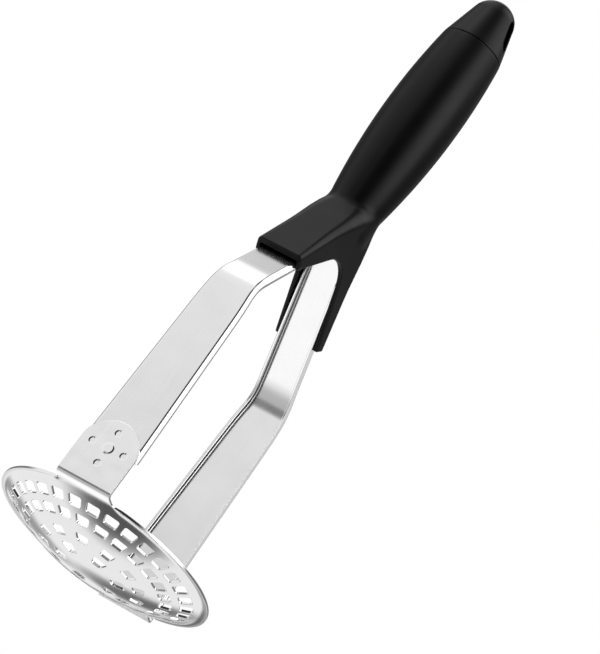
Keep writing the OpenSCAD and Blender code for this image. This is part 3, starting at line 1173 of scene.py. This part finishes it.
# ---- studio
@dataclass(frozen=True)
class Patch:
    """A soft-edged round patch of the studio walls that polished metal and plastic mirror."""

    toward: Point
    core: float
    edge: float
    level: float


@dataclass
class Studio:
    """White walls with grey and dark patches, the lamps, and a floor that only shows from above.

    Places and sizes are in metres and powers in watts. Each card pairs a strap with the power
    of the soft card that lights only that strap.
    """

    cards: Sequence[tuple[Object, float]] = ()
    card_place: Point = (1.51, 1.22, 0.88)
    card_size: float = 2.4
    key_place: Point = (-0.75, -0.9, 1.5)
    key_size: float = 0.7
    key_power: float = 1.4
    lit_height: float = 0.12
    base: float = 0.97
    patches: tuple[Patch, ...] = (
        # Shaded low wall behind on the right, which the rear strap's outside mirrors
        Patch((0.68, 0.68, -0.28), 12, 34, 0.68),
        # Ceiling, dark between the windows
        Patch((0.2, -0.1, 0.97), 34, 52, 0.12),
        # Back wall, with its darker foot and its two corners
        Patch((0.1, 0.93, 0.36), 22, 36, 0.25),
        Patch((-0.36, 0.86, 0.36), 7, 19, 0.25),
        # Dark line where the back wall meets the ground
        Patch((-0.25, 0.93, -0.24), 3, 12, 0.15),
        Patch((-0.54, 0.83, -0.13), 2, 11, 0.35),
        Patch((0.75, 0.55, 0.36), 20, 34, 0.2),
        Patch((-0.85, 0.45, 0.3), 18, 34, 0.2),
        # Dark gap on the camera's side, from the ceiling to the floor
        Patch((0.3, -0.93, 0.2), 18, 30, 0.03),
        Patch((0.36, -0.86, -0.36), 16, 30, 0.05),
        Patch((0.4, -0.57, -0.72), 14, 28, 0.1),
        # Dark floor under the plate
        Patch((-0.14, 0.26, -0.95), 5, 27, 0.1),
        # Bright upper edge of the left wall
        Patch((-0.37, -0.29, 0.88), 6, 34, 1.3),
        Patch((0.02, -0.1, 1.0), 8, 14, 0.08),
        # Window on the right, and a roof light over it
        Patch((0.87, -0.27, 0.42), 12, 25, 2.9),
        Patch((0.5, 0.12, 0.86), 12, 33, 2.0),
        # Lit floor on the left
        Patch((-0.38, -0.42, -0.82), 11, 24, 1.2),
        # Dark strip low on the left
        Patch((-0.38, -0.9, -0.16), 6, 26, 0.55),
        Patch((-0.38, -0.91, 0.12), 5.5, 11.5, 0.2),
    )
    floor_size: float = 6.0
    floor_colour: str = "f2f2f2"

    def build(self) -> None:
        """Makes the world, the key lamp, the card of each strap and the floor."""
        self.build_world()
        self.build_lamp("key_lamp", self.key_place, self.key_size, self.key_power)
        for strap, power in self.cards:
            card = self.build_lamp(strap.name + "_card", self.card_place, self.card_size, power)
            card.visible_camera = False
            receiver = bpy.data.collections.new(strap.name + "_only")
            receiver.objects.link(strap)
            card.light_linking.receiver_collection = receiver
        self.build_floor()

    def build_lamp(self, name: str, place: Point, size: float, power: float) -> Object:
        """Makes a round soft lamp that looks at the middle of the tool.

        Args:
            name: The lamp's name.
            place: Its position.
            size: Its diameter.
            power: Its power.

        Returns:
            The lamp.
        """
        data = bpy.data.lights.new(name, "AREA")
        data.shape, data.size, data.energy = "DISK", size, power
        lamp = bpy.data.objects.new(name, data)
        lamp.location = place
        beam = Vector((0, 0, self.lit_height)) - lamp.location
        lamp.rotation_euler = beam.to_track_quat("-Z", "Y").to_euler()
        bpy.context.scene.collection.objects.link(lamp)
        return lamp

    def build_world(self) -> None:
        """Makes the surroundings: plain white to the camera, patched for reflections."""
        world = bpy.data.worlds.new("studio")
        bpy.context.scene.world = world
        world.use_nodes = True
        tree = world.node_tree
        tree.nodes.clear()
        place = add(tree, "TexCoord").outputs["Generated"]
        toward = add(tree, "VectorMath", {0: place}, operation="NORMALIZE").outputs["Vector"]
        level: NodeSocket | float = self.base
        for patch in self.patches:
            pair = {0: toward, 1: Vector(patch.toward).normalized()}
            dot = add(tree, "VectorMath", pair, operation="DOT_PRODUCT").outputs["Value"]
            low, high = (cos(radians(a)) for a in (patch.edge, patch.core))
            ends = {"Value": dot, "From Min": low, "From Max": high}
            mask = add(tree, "MapRange", ends, interpolation_type="SMOOTHSTEP").outputs["Result"]
            mixed = {0: mask, 2: level, 3: patch.level}
            level = add(tree, "Mix", mixed, data_type="FLOAT").outputs[0]
        walls = add(tree, "Background", {"Color": (1, 1, 1, 1), "Strength": level})
        plain = add(tree, "Background", {"Color": (1, 1, 1, 1), "Strength": 1.0})
        seen = add(tree, "LightPath").outputs["Is Camera Ray"]
        both = {"Fac": seen, 1: walls.outputs["Background"], 2: plain.outputs["Background"]}
        mix = add(tree, "MixShader", both)
        add(tree, "OutputWorld", {"Surface": mix.outputs["Shader"]})

    def build_floor(self) -> None:
        """Makes the floor: a pale plane that only shows from above and keeps the shadow."""
        made, tree = blank_material("pale_floor")
        under = add(tree, "NewGeometry").outputs["Backfacing"]
        paint = add(tree, "BsdfDiffuse", {"Color": linear(self.floor_colour)}).outputs["BSDF"]
        clear = add(tree, "BsdfTransparent").outputs["BSDF"]
        mix = add(tree, "MixShader", {"Fac": under, 1: paint, 2: clear})
        add(tree, "OutputMaterial", {"Surface": mix.outputs["Shader"]})
        half = self.floor_size / 2
        corners = [(-half, -half, 0), (half, -half, 0), (half, half, 0), (-half, half, 0)]
        mesh = bpy.data.meshes.new("floor")
        mesh.from_pydata(corners, [], [(0, 1, 2, 3)])
        mesh.materials.append(made)
        floor = bpy.data.objects.new("floor", mesh)
        floor.visible_glossy = floor.visible_diffuse = floor.visible_shadow = False
        bpy.context.scene.collection.objects.link(floor)


@dataclass
class LongLens:
    """The camera: a long lens below the plate, rolled so that the handle leans right."""

    azimuth: float = 22.854
    elevation: float = -21.274
    roll: float = 36.281
    distance: float = 1595.9
    aim: Point = (23.968, -31.741, 109.526)
    focal: float = 243.7
    sensor: float = 36.0
    clip: Pair = (0.1, 20.0)

    def build(self) -> None:
        """Makes the camera and sets it as the scene's."""
        a, e, roll = (radians(v) for v in (self.azimuth, self.elevation, self.roll))
        back = Vector((sin(a) * cos(e), -cos(a) * cos(e), sin(e)))
        level = Vector((cos(a), sin(a), 0))
        upright = back.cross(level)
        right = level * cos(roll) + upright * sin(roll)
        up = back.cross(right)
        data = bpy.data.cameras.new("long_lens")
        data.lens, data.sensor_width = self.focal, self.sensor
        data.clip_start, data.clip_end = self.clip
        camera = bpy.data.objects.new("long_lens", data)
        turn = Matrix((right, up, back)).transposed().to_4x4()
        place = (Vector(self.aim) + back * self.distance) * MM
        camera.matrix_world = Matrix.Translation(place) @ turn
        bpy.context.scene.collection.objects.link(camera)
        bpy.context.scene.camera = camera


def main() -> None:
    """Builds the scene in order."""
    logging.basicConfig(level=logging.INFO, format="%(name)s: %(message)s")
    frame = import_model()
    LongLens().build()
    bright, brushed = PressedStainless().build(), BrushedStainless().build()
    nylon, zinc = MouldedNylon().build(), ZincPlate().build()
    MasherPlate().build(bright)
    rear = Strap().build("rear_channel", "rear_strap", 0, brushed)
    front = Strap(lip=1.25).build("front_channel", "front_strap", 180, brushed)
    Handle().build("handle_moulding", "handle_body", nylon)
    EndCap().build("cap_moulding", "end_cap", nylon)
    HiddenJoint().dress(frame["nodes"], zinc)
    Studio(cards=((rear, 8.0), (front, 17.0))).build()
    bpy.context.scene.view_settings.view_transform = "Standard"


if __name__ == "__main__":
    main()
